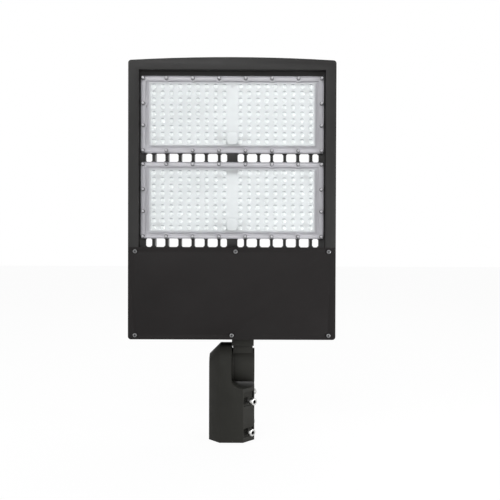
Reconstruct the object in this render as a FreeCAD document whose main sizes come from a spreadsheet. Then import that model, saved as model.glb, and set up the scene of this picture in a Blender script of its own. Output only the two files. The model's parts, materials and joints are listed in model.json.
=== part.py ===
import FreeCAD, Part
import os
import Sketcher

# LED area light with a shoebox head on a tilting slip fitter, in millimetres.
# x runs across the light, y from the lens side to the back, z up along the pole.
# The origin is the middle of the socket's mouth, where the pole's tenon goes in.

doc = FreeCAD.newDocument("area_light")

sizes = {
    # outline of the head
    "housing_width": 338,
    "housing_length": 454,  # straight side, without the arched end
    "arch_rise": 5,
    "corner_radius": 5,
    "front_depth": 34,  # tenon axis to the front plane of rim and cover
    "back_depth": 32,  # tenon axis to the back of the driver box
    # bay that holds the two light modules
    "rail_width": 17,
    "top_rail": 15,
    "rail_depth": 26,
    "bay_depth": 14,
    "floor_thickness": 5,
    # driver box at the lower end
    "box_length": 150.5,
    "box_wall": 5,
    "box_draft": 10,
    "boss_radius": 6.5,
    "boss_length": 10,
    # slots through the floor, and the fins that bridge them
    "fin_pitch": 21.6,
    "fin_root": 4.6,
    "fin_tip": 2.8,
    "fin_height": 20,
    "fin_slope": 40,
    "slot_length": 14.5,
    "slot_margin": 9.7,  # side of the bay to the outermost slots
    "slot_corner": 2.5,
    "slot_edge": 0.2,
    # spine that carries the leads behind the floor
    "spine_width": 17,
    "spine_height": 11,
    "spine_bridge": 4,
    "bridge_gap": 0.25,  # end of a bridge to the lens beside it
    "lead_bore": 3.5,
    "lead_mouth": 2.8,
    "lead_gap": 0.3,
    "lead_exit_inset": 6,
    "connector_half_width": 10.5,
    "connector_half_length": 3,
    "connector_height": 5,
    # light modules
    "lens_margin": 8.5,
    "module_gap": 15,
    "lower_margin": 14,
    "lens_side_gap": 2.4,
    "lens_corner": 4,
    "flange_side": 12.3,
    "flange_end": 9.3,
    "flange_thickness": 3.5,
    "field_rise": 5,
    "field_bevel": 2.5,
    "lens_wall": 2,
    "lens_gasket_thickness": 1.5,
    "gasket_inset": 0.5,  # edge of a piece to the edge of the gasket below it
    "optic_pitch_across": 14.36,
    "optic_pitch_along": 11.18,
    "optic_edge": 5,  # least room between the field's edge and the outer pitch of the optics
    "group_shift": 1.8,  # middle of each half of the field to the middle of its optics
    "optic_radius": 4.2,
    "optic_height": 2.2,
    "board_edge": 3,
    "board_end": 4.2,
    "board_gap": 0.5,
    "board_thickness": 1.6,
    "chip_size": 3,
    "chip_height": 0.8,
    "board_screw_radius": 1.5,
    "board_screw_head": 2.75,
    "board_screw_head_height": 1.8,
    # lens screws
    "lens_screw_radius": 1.8,
    "lens_screw_head": 3.2,
    "lens_screw_head_height": 2.2,
    "lens_screw_inset": 3.7,
    "lens_side_screw": 18,
    # driver cover
    "cover_thickness": 3,
    "cover_gasket_thickness": 1,
    "cover_gasket_width": 4.5,
    "cover_screw_radius": 2.2,
    "cover_screw_head": 3.5,
    "cover_screw_head_height": 2.2,
    "cover_screw_side": 11.5,
    "cover_screw_end": 7,
    "cover_middle_screw_shift": 6,
    # driver, surge protector and terminal block
    "driver_height": 42,
    "driver_side_gap": 26,
    "driver_bottom": 32,
    "driver_top": 30.5,
    "driver_tab": 9,
    "tab_thickness": 3,
    "device_screw_radius": 2,
    "device_screw_head": 3.8,
    "device_screw_head_height": 2.6,
    "surge_width": 46,
    "surge_length": 50,
    "surge_side_gap": 21,
    "surge_height": 30,
    "terminal_length": 24,
    "terminal_height": 20,
    "device_gap": 10,
    # breather vent
    "vent_radius": 6,
    "vent_head_radius": 9,
    "vent_head_height": 3,
    "vent_offset": 60,
    # knuckle
    "knuckle_height": 120.5,  # mouth of the socket to the knuckle's axis
    "neck_reach": 47,  # knuckle's axis to the end wall of the head
    "barrel_radius": 28,
    "barrel_groove": 1.5,
    "ring_width": 3.2,
    "ring_groove": 1,
    "knuckle_gap": 0.15,  # from the middle plane to each half of the knuckle
    "knuckle_cavity": 20,
    "barrel_web": 4.5,
    "bolt_recess_depth": 11,
    "bolt_recess_radius": 12,
    "bolt_radius": 6,
    "bolt_head_radius": 9.5,
    "bolt_head_height": 6.5,
    "washer_radius": 11,
    "washer_thickness": 1.8,
    "lock_washer_thickness": 2.2,
    "nut_height": 6,
    "seal_outer": 26,
    "seal_inner": 23,
    "seal_seat": 0.05,  # face of the fitter's cheek to the seal
    "seal_groove_depth": 1.2,
    "running_gap": 0.1,
    "neck_inset": 1.3,
    "neck_half_depth": 22,
    "neck_ledge": 12,
    "web_inset": 1.7,
    "web_half_depth": 17,
    "arm_gasket_thickness": 1,
    "wire_hole": 8,
    "grommet_flange": 11,
    "grommet_wall": 2,
    "arm_screw_radius": 2.5,
    "arm_screw_head": 4.5,
    "arm_screw_head_height": 4,
    "arm_screw_across": 13,
    "arm_screw_along": 14,
    "arm_screw_length": 14,
    # socket of the slip fitter
    "fitter_width": 75,
    "fitter_chamfer": 18.5,
    "socket_radius": 31,
    "socket_depth": 80,
    "shelf_drop": 32.9,  # knuckle's axis down to the shelf beside the barrel
    "saddle_radius": 27,
    "saddle_reach": 21,
    "barrel_clearance": 1,
    # set screws that grip the tenon
    "set_screw_low": 16,
    "set_screw_high": 67,
    "set_screw_radius": 4,
    "set_screw_head": 5.8,
    "set_screw_head_height": 8,
    "set_screw_stand_low": 9.8,
    "set_screw_stand_high": 13.3,
    "set_screw_length": 10.5,
    "set_screw_socket": 3,
    "pad_depth": 3,
    "pad_width": 23,
    "pad_below_low": 8,
    "pad_above_low": 6.4,
    "pad_below_high": 8.6,
    "pad_above_high": 14.4,
    "hole_clearance": 0.05,
}

sheet = doc.addObject("Spreadsheet::Sheet", "dim")
for row, (alias, number) in enumerate(sizes.items(), start=1):
    sheet.set("A%d" % row, alias)
    sheet.set("B%d" % row, str(number))
    sheet.setAlias("B%d" % row, alias)
doc.recompute()

# Planes that several pieces share, as formulas on the sheet.
front = "(-dim.front_depth)"
floor_front = "(-dim.front_depth + dim.bay_depth)"
floor_back = "(-dim.front_depth + dim.bay_depth + dim.floor_thickness)"
rail_back = "(-dim.front_depth + dim.rail_depth)"
fin_tips = "(-dim.front_depth + dim.bay_depth + dim.floor_thickness + dim.fin_height)"
half_width = "(dim.housing_width / 2)"
head_bottom = "(dim.knuckle_height + dim.neck_reach)"
side_top = "(dim.knuckle_height + dim.neck_reach + dim.housing_length)"
arch_top = "(dim.knuckle_height + dim.neck_reach + dim.housing_length + dim.arch_rise)"
bay_top = f"({side_top} - dim.top_rail)"
bay_side = f"({half_width} - dim.rail_width)"
box_top = f"({head_bottom} + dim.box_length)"
box_back = "(dim.back_depth)"
box_floor = "(dim.back_depth - dim.box_wall)"
cover_back = "(-dim.front_depth + dim.cover_thickness)"
box_rim = "(-dim.front_depth + dim.cover_thickness + dim.cover_gasket_thickness)"
lens_width = f"(2 * ({bay_side} - dim.lens_side_gap))"
lens_length = f"(({bay_top} - {box_top} - dim.lens_margin - dim.module_gap - dim.lower_margin) / 2)"
upper_middle = f"({bay_top} - dim.lens_margin - {lens_length} / 2)"
lower_middle = f"({upper_middle} - {lens_length} - dim.module_gap)"
slots_between = f"(({upper_middle} + {lower_middle}) / 2)"
neck_width = "(dim.fitter_width / 2 - dim.knuckle_gap - dim.neck_inset)"
neck_middle = f"(dim.knuckle_gap + {neck_width} / 2)"

# The room in the bay decides how many fins and optics fit.
bay_half = sizes["housing_width"] / 2 - sizes["rail_width"]
bay_length = sizes["housing_length"] - sizes["top_rail"] - sizes["box_length"]
lens_half = bay_half - sizes["lens_side_gap"]
lens_tall = (bay_length - sizes["lens_margin"] - sizes["module_gap"] - sizes["lower_margin"]) / 2
field_half = lens_half - sizes["flange_side"]
field_tall = lens_tall - 2 * sizes["flange_end"]
group_offset = field_half / 2 + sizes["group_shift"]
fins_each_side = int((bay_half - sizes["fin_pitch"] / 2) / sizes["fin_pitch"])
optic_columns = int((field_half - sizes["optic_edge"]) / sizes["optic_pitch_across"])
optic_rows = int((field_tall - sizes["optic_edge"]) / sizes["optic_pitch_along"])


def place(thing, x="0", y="0", z="0"):
    """Bind where a thing stands to formulas on the sheet."""
    for axis, formula in (("x", x), ("y", y), ("z", z)):
        thing.setExpression("Placement.Base." + axis, formula)
    return thing


def box(name, x, y, z):
    """A block between two planes on each axis."""
    block = doc.addObject("Part::Box", name)
    for side, (low, high) in (("Length", x), ("Width", y), ("Height", z)):
        block.setExpression(side, f"({high}) - ({low})")
    return place(block, x[0], y[0], z[0])


def wedge(name, x, y, z, front_inset="0", back_inset_x="0", back_inset_top="0"):
    """A block whose front face is drawn in all round, or its back face at the sides and the top."""
    block = doc.addObject("Part::Wedge", name)
    width, depth, height = (f"(({high}) - ({low}))" for low, high in (x, y, z))
    block.setExpression("Xmin", front_inset)
    block.setExpression("Zmin", front_inset)
    block.setExpression("Ymin", "0")
    block.setExpression("Xmax", f"{width} - ({front_inset})")
    block.setExpression("Zmax", f"{height} - ({front_inset})")
    block.setExpression("Ymax", depth)
    block.setExpression("X2min", back_inset_x)
    block.setExpression("X2max", f"{width} - ({back_inset_x})")
    block.setExpression("Z2min", "0")
    block.setExpression("Z2max", f"{height} - ({back_inset_top})")
    return place(block, x[0], y[0], z[0])


turns = {
    "x": FreeCAD.Rotation(FreeCAD.Vector(0, 1, 0), 90),
    "y": FreeCAD.Rotation(FreeCAD.Vector(1, 0, 0), -90),
    "z": FreeCAD.Rotation(),
}


def rod(name, radius, axis, span, x="0", y="0", z="0"):
    """A cylinder along one axis between two planes; the other two places are its centre."""
    cylinder = doc.addObject("Part::Cylinder", name)
    cylinder.Placement.Rotation = turns[axis]
    cylinder.setExpression("Radius", radius)
    cylinder.setExpression("Height", f"({span[1]}) - ({span[0]})")
    centre = {"x": x, "y": y, "z": z}
    centre[axis] = span[0]
    return place(cylinder, **centre)


def join(name, *pieces):
    fused = doc.addObject("Part::MultiFuse", name)
    fused.Shapes = list(pieces)
    return fused


def cut(name, base, *groups):
    """Take groups of tools away in turn; the tools of one group do not touch each other."""
    for count, group in enumerate(groups, start=1):
        result = doc.addObject("Part::Cut", name if count == len(groups) else f"{name}_{count}")
        result.Base = base
        if isinstance(group, list):
            tools = doc.addObject("Part::Compound", f"{name}_tools_{count}")
            tools.Links = group
            result.Tool = tools
        else:
            result.Tool = group
        base = result
    return result


def overlap(name, first, second):
    result = doc.addObject("Part::Common", name)
    result.Base = first
    result.Tool = second
    return result


def round_edges(name, base, size, direction, chosen=lambda middle: True, kind="Part::Fillet"):
    """Round or chamfer the straight edges along one direction whose middle is chosen."""
    base.recompute(True)
    wanted = FreeCAD.Vector(*direction)
    picked = []
    for index, edge in enumerate(base.Shape.Edges, start=1):
        ends = [vertex.Point for vertex in edge.Vertexes]
        if len(ends) != 2 or edge.Curve.TypeId != "Part::GeomLine":
            continue
        along = (ends[1] - ends[0]).normalize()
        if abs(along.dot(wanted)) > 0.999 and chosen((ends[0] + ends[1]) * 0.5):
            picked.append((index, size, size))
    rounded = doc.addObject(kind, name)
    rounded.Base = base
    rounded.Edges = picked
    return rounded


def copies(name, master, places):
    """One separate solid of the master at each place."""
    master.recompute(True)
    group = doc.addObject("Part::Feature", name)
    group.Shape = Part.makeCompound([master.Shape.translated(FreeCAD.Vector(*spot)) for spot in places])
    return group


def mirrored_grid(across, along):
    """Places at plus and minus each value, in the plane of the front."""
    return [(side * x, 0, end * z) for x in across for z in along for side in (-1, 1) for end in (-1, 1)]


def rectangle(sketch, prefix, x, z):
    """Four lines in a sketch on the front plane, each held by a formula."""
    first = sketch.GeometryCount
    corners = [(-10, -10), (10, -10), (10, 10), (-10, 10)]
    points = [FreeCAD.Vector(u, v, 0) for u, v in corners]
    for index in range(4):
        sketch.addGeometry(Part.LineSegment(points[index], points[(index + 1) % 4]), False)
    for index in range(4):
        sketch.addConstraint(Sketcher.Constraint("Coincident", first + index, 2, first + (index + 1) % 4, 1))
    for index, kind in enumerate(("Horizontal", "Vertical", "Horizontal", "Vertical")):
        sketch.addConstraint(Sketcher.Constraint(kind, first + index))
    for name, kind, line, formula in (
        ("left", "DistanceX", 0, x[0]),
        ("right", "DistanceX", 2, x[1]),
        ("low", "DistanceY", 0, z[0]),
        ("high", "DistanceY", 2, z[1]),
    ):
        sign = -10 if name in ("left", "low") else 10
        number = sketch.addConstraint(Sketcher.Constraint(kind, -1, 1, first + line, 1, sign))
        sketch.renameConstraint(number, prefix + name)
        sketch.setExpression("Constraints." + prefix + name, formula)


def sheet_part(name, back, thickness, outline, window=None, origin_z="0"):
    """A flat piece padded towards the front from a sketch on its body's front plane."""
    body = doc.addObject("PartDesign::Body", name)
    plane = [item for item in body.Origin.OriginFeatures if item.Role == "XZ_Plane"][0]
    sketch = body.newObject("Sketcher::SketchObject", name + "_outline")
    sketch.AttachmentSupport = [(plane, "")]
    sketch.MapMode = "FlatFace"
    sketch.setExpression("AttachmentOffset.Base.z", f"-({back})")
    rectangle(sketch, "outer_", *outline)
    if window:
        rectangle(sketch, "inner_", *window)
    pad = body.newObject("PartDesign::Pad", name + "_pad")
    pad.Profile = sketch
    pad.setExpression("Length", thickness)
    return place(body, z=origin_z)


nodes = {}


def node(name, thing):
    """Name a finished piece; each name is one file."""
    thing.Label = name
    nodes[name] = thing
    return thing


def module_node(name, master, middle):
    """A copy of a module piece, which is drawn about the module's centre on the bay floor."""
    master.recompute(True)
    piece = doc.addObject("Part::Feature", name)
    piece.Shape = master.Shape.copy()
    return node(name, place(piece, y=floor_front, z=middle))


# ---- main housing: rim, bay floor and slots ----

outline_block = box(
    "outline_block", (f"-{half_width}", half_width), (front, rail_back), (head_bottom, arch_top)
)
arch_radius = "((dim.housing_width / 2)^2 + dim.arch_rise^2) / (2 * dim.arch_rise)"
arch = rod("arch", arch_radius, "y", (front, rail_back), z=f"{arch_top} - {arch_radius}")
arched_block = overlap("arched_block", outline_block, arch)
rim_block = round_edges("rim_block", arched_block, sizes["corner_radius"], (0, 1, 0))

bay = box("bay", (f"-{bay_side}", bay_side), (f"{front} - 1", floor_front), (box_top, bay_top))
behind_floor = box(
    "behind_floor", (f"-{bay_side}", bay_side), (floor_back, f"{rail_back} + 1"), (box_top, bay_top)
)

slot_spans = [("dim.spine_width / 2", "dim.fin_pitch - dim.fin_root / 2")]
for count in range(1, fins_each_side):
    slot_spans.append(
        (f"{count} * dim.fin_pitch + dim.fin_root / 2", f"{count + 1} * dim.fin_pitch - dim.fin_root / 2")
    )
slot_spans.append(
    (f"{fins_each_side} * dim.fin_pitch + dim.fin_root / 2", f"({bay_side} - dim.slot_margin)")
)
slot_rows = {
    "middle": (f"{slots_between} - dim.slot_length / 2", f"{slots_between} + dim.slot_length / 2"),
    "lower": (f"{box_top} + dim.slot_edge", f"{box_top} + dim.slot_edge + dim.slot_length"),
}
slots = []
for row_name, row_span in slot_rows.items():
    for count, (near, far) in enumerate(slot_spans):
        for side, span in (("right", (near, far)), ("left", (f"-({far})", f"-({near})"))):
            name = f"{row_name}_slot_{side}_{count}"
            block = box(name + "_block", span, (f"{floor_front} - 1", f"{floor_back} + 1"), row_span)
            slots.append(round_edges(name, block, sizes["slot_corner"], (0, 1, 0), kind="Part::Chamfer"))

# ---- main housing: driver box ----

box_shell = wedge(
    "box_shell",
    (f"-{half_width}", half_width),
    (rail_back, box_back),
    (head_bottom, box_top),
    back_inset_x="dim.box_draft",
    back_inset_top="dim.box_draft",
)
box_cavity = wedge(
    "box_cavity",
    (f"-{half_width} + dim.box_wall", f"{half_width} - dim.box_wall"),
    (f"{front} - 1", box_floor),
    (f"{head_bottom} + dim.box_wall", f"{box_top} - dim.box_wall"),
    back_inset_x="dim.box_draft",
    back_inset_top="dim.box_draft",
)
cover_seat = box(
    "cover_seat", (f"-{half_width} - 1", f"{half_width} + 1"), (f"{front} - 1", box_rim),
    (f"{head_bottom} - 1", box_top),
)
screw_sides = (f"-{half_width} + dim.cover_screw_side", "0", f"{half_width} - dim.cover_screw_side")
cover_screw_places = [(x, f"{head_bottom} + dim.cover_screw_end") for x in screw_sides]
cover_screw_places += [(x, f"{box_top} - dim.cover_screw_end") for x in screw_sides]
cover_screw_places[4] = ("dim.cover_middle_screw_shift", cover_screw_places[4][1])
bosses = [
    rod(f"cover_boss_{count}", "dim.boss_radius", "y", (box_rim, f"{box_rim} + dim.boss_length"), x=x, z=z)
    for count, (x, z) in enumerate(cover_screw_places)
]
cover_screw_tip = f"({box_rim} + dim.boss_length - 4)"
boss_holes = [
    rod(
        f"cover_boss_hole_{count}", "dim.cover_screw_radius + dim.hole_clearance", "y",
        (f"{front} - 1", f"{cover_screw_tip} + 1"), x=x, z=z,
    )
    for count, (x, z) in enumerate(cover_screw_places)
]

# ---- main housing: fins and spine ----

fins = []
for count in range(1, fins_each_side + 1):
    for side in (-1, 1):
        middle = f"({side * count} * dim.fin_pitch)"
        fins.append(
            wedge(
                f"fin_{side * count}",
                (f"{middle} - dim.fin_root / 2", f"{middle} + dim.fin_root / 2"),
                (floor_front, fin_tips),
                (f"{box_top} - dim.box_draft", f"{bay_top} + 1"),
                back_inset_x="(dim.fin_root - dim.fin_tip) / 2",
                back_inset_top="dim.fin_slope",
            )
        )
spine_back = f"({floor_back} + dim.spine_height)"
lead_exits = {
    "lower_exit": f"({lower_middle} - {lens_length} / 2 + dim.flange_end + dim.lead_exit_inset)",
    "link_exit": f"({lower_middle} + {lens_length} / 2 - dim.flange_end - dim.lead_exit_inset)",
    "upper_exit": f"({upper_middle} - {lens_length} / 2 + dim.flange_end + dim.lead_exit_inset)",
}
spine_top = f"({lead_exits['upper_exit']} + dim.spine_width)"
spine = box(
    "spine", ("-dim.spine_width / 2", "dim.spine_width / 2"), (floor_front, spine_back),
    (f"{box_top} - dim.box_draft", spine_top),
)
bridge_spans = {
    "middle": (
        f"{slots_between} - dim.module_gap / 2 + dim.bridge_gap",
        f"{slots_between} + dim.module_gap / 2 - dim.bridge_gap",
    ),
    "lower": (f"{box_top} + dim.slot_edge", f"{box_top} + dim.lower_margin - dim.bridge_gap"),
}
bridges = [
    box(
        f"{row_name}_bridge", ("-dim.spine_width / 2", "dim.spine_width / 2"),
        (f"{floor_front} - dim.spine_bridge", floor_back), span,
    )
    for row_name, span in bridge_spans.items()
]
lead_height = f"({floor_back} + dim.spine_height / 2 - 1)"
lead_bore = rod(
    "lead_bore", "dim.lead_bore", "z",
    (f"{box_top} - 2 * dim.box_draft", f"{lead_exits['upper_exit']} + dim.lead_bore"), y=lead_height,
)
lead_mouths = [
    rod(name, "dim.lead_mouth", "y", (f"{floor_front} - 1", lead_height), z=z)
    for name, z in lead_exits.items()
]

# ---- places of the screws in a module, about its centre ----

lens_screw_x = [fin * sizes["fin_pitch"] for fin in range(1, fins_each_side, 2)]
lens_screw_x.append(lens_half - sizes["lens_screw_inset"])
lens_screw_z = lens_tall / 2 - sizes["lens_screw_inset"]
lens_screw_places = mirrored_grid(lens_screw_x, [lens_screw_z])
lens_screw_places += mirrored_grid(lens_screw_x[-1:], [sizes["lens_side_screw"]])
cell_x = (optic_columns - 2) / 2 * sizes["optic_pitch_across"]
cell_z = (optic_rows - 2) / 2 * sizes["optic_pitch_along"]
board_screw_places = mirrored_grid([group_offset - cell_x, group_offset + cell_x], [cell_z])
lens_hole = rod(
    "lens_hole", "dim.lens_screw_radius + dim.hole_clearance", "y", ("-30", "dim.floor_thickness + 1")
)
board_hole = rod(
    "board_hole", "dim.board_screw_radius + dim.hole_clearance", "y", ("-30", "dim.floor_thickness - 1")
)
lens_holes = copies("lens_holes", lens_hole, lens_screw_places)
board_holes = copies("board_holes", board_hole, board_screw_places)


def module_holes(name, middle):
    """The screw holes of one module, moved to where the module stands."""
    holes = doc.addObject("Part::Feature", name)
    holes.Shape = Part.makeCompound([lens_holes.Shape, board_holes.Shape])
    return place(holes, y=floor_front, z=middle)


# ---- places of the devices on the floor of the driver box ----

surge_right = f"({half_width} - dim.surge_side_gap)"
surge_left = f"({surge_right} - dim.surge_width)"
driver_left = f"(-{half_width} + dim.driver_side_gap)"
driver_right = f"({surge_left} - dim.device_gap - dim.driver_tab)"
driver_low = f"({head_bottom} + dim.driver_bottom)"
driver_high = f"({box_top} - dim.driver_top)"
driver_middle = f"(({driver_low} + {driver_high}) / 2)"
driver_spread = f"(({driver_high} - {driver_low}) / 3)"
surge_low = f"({driver_high} - dim.surge_length)"
terminal_low = f"({driver_low})"
terminal_high = f"({driver_low} + dim.terminal_length)"
tab_middle = "dim.driver_tab / 2"
device_screw_places = {
    "led_driver": [
        (f"{driver_left} - {tab_middle}", f"{driver_middle} - {driver_spread}"),
        (f"{driver_left} - {tab_middle}", f"{driver_middle} + {driver_spread}"),
        (f"{driver_right} + {tab_middle}", f"{driver_middle} - {driver_spread}"),
        (f"{driver_right} + {tab_middle}", f"{driver_middle} + {driver_spread}"),
    ],
    "surge_protector": [
        (f"{surge_left} + dim.surge_width / 2", f"{surge_low} - {tab_middle}"),
        (f"{surge_left} + dim.surge_width / 2", f"{driver_high} + {tab_middle}"),
    ],
    "terminal_block": [
        (f"{surge_left} + dim.surge_width / 4", f"{terminal_low} - {tab_middle}"),
        (f"{surge_right} - dim.surge_width / 4", f"{terminal_low} - {tab_middle}"),
    ],
}
device_screw_tip = f"({box_floor} + dim.box_wall - 1.5)"
device_holes = []
for device, places in device_screw_places.items():
    for count, (x, z) in enumerate(places):
        device_holes.append(
            rod(
                f"{device}_hole_{count}", "dim.device_screw_radius + dim.hole_clearance", "y",
                (f"{box_floor} - 20", device_screw_tip), x=x, z=z,
            )
        )
vent_x = f"({driver_left} + dim.vent_offset)"
vent_z = f"({driver_low} - dim.vent_head_radius - 4)"
vent_hole = rod(
    "vent_hole", "dim.vent_radius + dim.hole_clearance", "y", (f"{box_floor} - 1", f"{box_back} + 1"),
    x=vent_x, z=vent_z,
)

# ---- main housing: the hole and screw holes for the tilt arm in the end wall ----

end_wall = (f"{head_bottom} - 1", f"{head_bottom} + dim.box_wall + 1")
wire_way = rod("wire_way", "dim.wire_hole + dim.grommet_wall", "z", end_wall, x=neck_middle)
arm_screw_places = [
    (f"{neck_middle} + {side} * dim.arm_screw_across", f"{end} * dim.arm_screw_along")
    for side in (-1, 1)
    for end in (-1, 1)
]
arm_holes = [
    rod(f"arm_hole_{count}", "dim.arm_screw_radius + dim.hole_clearance", "z", end_wall, x=x, y=y)
    for count, (x, y) in enumerate(arm_screw_places)
]

frame = cut("frame", rim_block, [bay, behind_floor], slots)
solid_frame = join("solid_frame", frame, box_shell, *fins, spine, *bridges)
hollow_frame = cut("hollow_frame", solid_frame, box_cavity)
dressed = join("dressed_frame", hollow_frame, *bosses)
node(
    "main_housing",
    cut(
        "housing_result", dressed,
        [
            cover_seat, module_holes("upper_module_holes", upper_middle),
            module_holes("lower_module_holes", lower_middle), *device_holes, vent_hole, wire_way, *arm_holes,
        ],
        [*boss_holes, lead_bore], lead_mouths,
    ),
)

# ---- driver cover, its gasket and screws ----

cover_plate = sheet_part(
    "cover_plate", cover_back, "dim.cover_thickness",
    ((f"-{half_width}", half_width), (head_bottom, box_top)),
)
cover_rounded = round_edges(
    "cover_rounded", cover_plate, sizes["corner_radius"], (0, 1, 0),
    chosen=lambda middle: middle.z < sizes["knuckle_height"] + sizes["neck_reach"] + 1,
)
cover_holes = [
    rod(
        f"cover_hole_{count}", "dim.cover_screw_radius + dim.hole_clearance", "y",
        (f"{front} - 1", f"{box_rim} + 1"), x=x, z=z,
    )
    for count, (x, z) in enumerate(cover_screw_places)
]
node("driver_cover", cut("cover_result", cover_rounded, cover_holes))

gasket_frame = sheet_part(
    "gasket_frame", box_rim, "dim.cover_gasket_thickness",
    (
        (f"-{half_width} + dim.gasket_inset", f"{half_width} - dim.gasket_inset"),
        (f"{head_bottom} + dim.gasket_inset", f"{box_top} - dim.gasket_inset"),
    ),
    window=(
        (f"-{half_width} + dim.cover_gasket_width", f"{half_width} - dim.cover_gasket_width"),
        (f"{head_bottom} + dim.cover_gasket_width", f"{box_top} - dim.cover_gasket_width"),
    ),
)
gasket_rounded = round_edges(
    "gasket_rounded", gasket_frame, sizes["corner_radius"], (0, 1, 0),
    chosen=lambda middle: middle.z < sizes["knuckle_height"] + sizes["neck_reach"] + 1,
)
gasket_pads = [
    rod(f"gasket_pad_{count}", "dim.boss_radius - dim.gasket_inset", "y", (cover_back, box_rim), x=x, z=z)
    for count, (x, z) in enumerate(cover_screw_places)
]
node(
    "driver_cover_gasket",
    cut("cover_gasket_result", join("gasket_solid", gasket_rounded, *gasket_pads), cover_holes),
)


def screw(name, radius, head_radius, head_height, seat, tip, axis="y", x="0", y="0", z="0"):
    """A pan-head screw with a round recess; the head stands before the seat plane."""
    head = rod(name + "_head", head_radius, axis, (f"{seat} - {head_height}", seat), x=x, y=y, z=z)
    shank = rod(name + "_shank", radius, axis, (seat, tip), x=x, y=y, z=z)
    recess = rod(
        name + "_recess", f"{head_radius} * 0.35", axis,
        (f"{seat} - {head_height} - 1", f"{seat} - {head_height} / 2"), x=x, y=y, z=z,
    )
    return cut(name, join(name + "_solid", head, shank), recess)


cover_screws = doc.addObject("Part::Compound", "cover_screw_set")
cover_screws.Links = [
    screw(
        f"cover_screw_{count}", "dim.cover_screw_radius", "dim.cover_screw_head",
        "dim.cover_screw_head_height", front, cover_screw_tip, x=x, z=z,
    )
    for count, (x, z) in enumerate(cover_screw_places)
]
node("driver_cover_screws", cover_screws)

# ---- one light module, drawn about its centre with the bay floor at y = 0 ----

lens_half_x = f"({lens_width} / 2)"
lens_half_z = f"({lens_length} / 2)"
field_half_x = f"({lens_width} / 2 - dim.flange_side)"
field_half_z = f"({lens_length} / 2 - dim.flange_end)"
flange_back = "(-dim.lens_gasket_thickness)"
flange_front = "(-dim.lens_gasket_thickness - dim.flange_thickness)"
field_front = "(-dim.lens_gasket_thickness - dim.flange_thickness - dim.field_rise)"

lens_flange = round_edges(
    "lens_flange",
    box(
        "lens_plate", (f"-{lens_half_x}", lens_half_x), (flange_front, flange_back),
        (f"-{lens_half_z}", lens_half_z),
    ),
    sizes["lens_corner"], (0, 1, 0),
)
lens_field = wedge(
    "lens_field", (f"-{field_half_x}", field_half_x), (field_front, flange_front),
    (f"-{field_half_z}", field_half_z), front_inset="dim.field_bevel",
)
lens_hollow = box(
    "lens_hollow",
    (f"-{field_half_x} + dim.lens_wall", f"{field_half_x} - dim.lens_wall"),
    (f"{field_front} + dim.lens_wall", f"{flange_back} + 1"),
    (f"-{field_half_z} + dim.lens_wall", f"{field_half_z} - dim.lens_wall"),
)

optic_places = []
for group in (-1, 1):
    for column in range(optic_columns):
        for line in range(optic_rows):
            across = (column - (optic_columns - 1) / 2) * sizes["optic_pitch_across"]
            along = (line - (optic_rows - 1) / 2) * sizes["optic_pitch_along"]
            optic_places.append((group * group_offset + across, 0, along))

# Each optic is a low dome: the cap of a sphere that stands on the field's front.
dome_radius = "((dim.optic_radius^2 + dim.optic_height^2) / (2 * dim.optic_height))"
dome = doc.addObject("Part::Sphere", "dome")
dome.Placement.Rotation = FreeCAD.Rotation(FreeCAD.Vector(1, 0, 0), 90)
dome.setExpression("Radius", dome_radius)
dome.setExpression("Angle1", f"asin(1 - dim.optic_height / {dome_radius})")
place(dome, y=f"{field_front} + {dome_radius} - dim.optic_height")
domes = copies("domes", dome, optic_places)
lens = cut("lens", join("lens_solid", lens_flange, lens_field, domes), lens_hollow, lens_holes)

lens_gasket_frame = sheet_part(
    "lens_gasket_frame", "0", "dim.lens_gasket_thickness",
    (
        (f"-{lens_half_x} + dim.gasket_inset", f"{lens_half_x} - dim.gasket_inset"),
        (f"-{lens_half_z} + dim.gasket_inset", f"{lens_half_z} - dim.gasket_inset"),
    ),
    window=((f"-{field_half_x}", field_half_x), (f"-{field_half_z}", field_half_z)),
)
lens_gasket = cut("lens_gasket", lens_gasket_frame, lens_holes)

board_sides = {
    "left": (f"-{field_half_x} + dim.board_edge", "-dim.board_gap / 2"),
    "right": ("dim.board_gap / 2", f"{field_half_x} - dim.board_edge"),
}
board_tall = f"({field_half_z} - dim.board_end)"
lead_notches = [
    rod(
        f"lead_notch_{end}", "dim.lead_mouth + dim.lead_gap", "y", ("-30", "1"),
        z=f"{sign} * ({field_half_z} - dim.lead_exit_inset)",
    )
    for end, sign in (("low", -1), ("high", 1))
]
board_pieces = []
for label, side in board_sides.items():
    board_plate = sheet_part(
        f"board_{label}_plate", "0", "dim.board_thickness", (side, (f"-{board_tall}", board_tall))
    )
    board_pieces.append(cut(f"board_{label}", board_plate, board_holes, lead_notches))
boards = doc.addObject("Part::Compound", "boards")
boards.Links = board_pieces
chip = box(
    "chip", ("-dim.chip_size / 2", "dim.chip_size / 2"),
    ("-dim.board_thickness - dim.chip_height", "-dim.board_thickness"),
    ("-dim.chip_size / 2", "dim.chip_size / 2"),
)
chips = copies("chips", chip, optic_places)
lens_screw = screw(
    "lens_screw", "dim.lens_screw_radius", "dim.lens_screw_head", "dim.lens_screw_head_height",
    flange_front, "dim.floor_thickness - 0.5",
)
lens_screws = copies("lens_screws", lens_screw, lens_screw_places)
board_screw = screw(
    "board_screw", "dim.board_screw_radius", "dim.board_screw_head", "dim.board_screw_head_height",
    "(-dim.board_thickness)", "dim.floor_thickness - 1.5",
)
board_screws = copies("board_screws", board_screw, board_screw_places)

for module, middle in (("upper", upper_middle), ("lower", lower_middle)):
    module_node(f"{module}_lens", lens, middle)
    module_node(f"{module}_lens_gasket", lens_gasket, middle)
    module_node(f"{module}_lens_screws", lens_screws, middle)
    module_node(f"{module}_led_boards", boards, middle)
    module_node(f"{module}_led_chips", chips, middle)
    module_node(f"{module}_board_screws", board_screws, middle)


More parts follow.
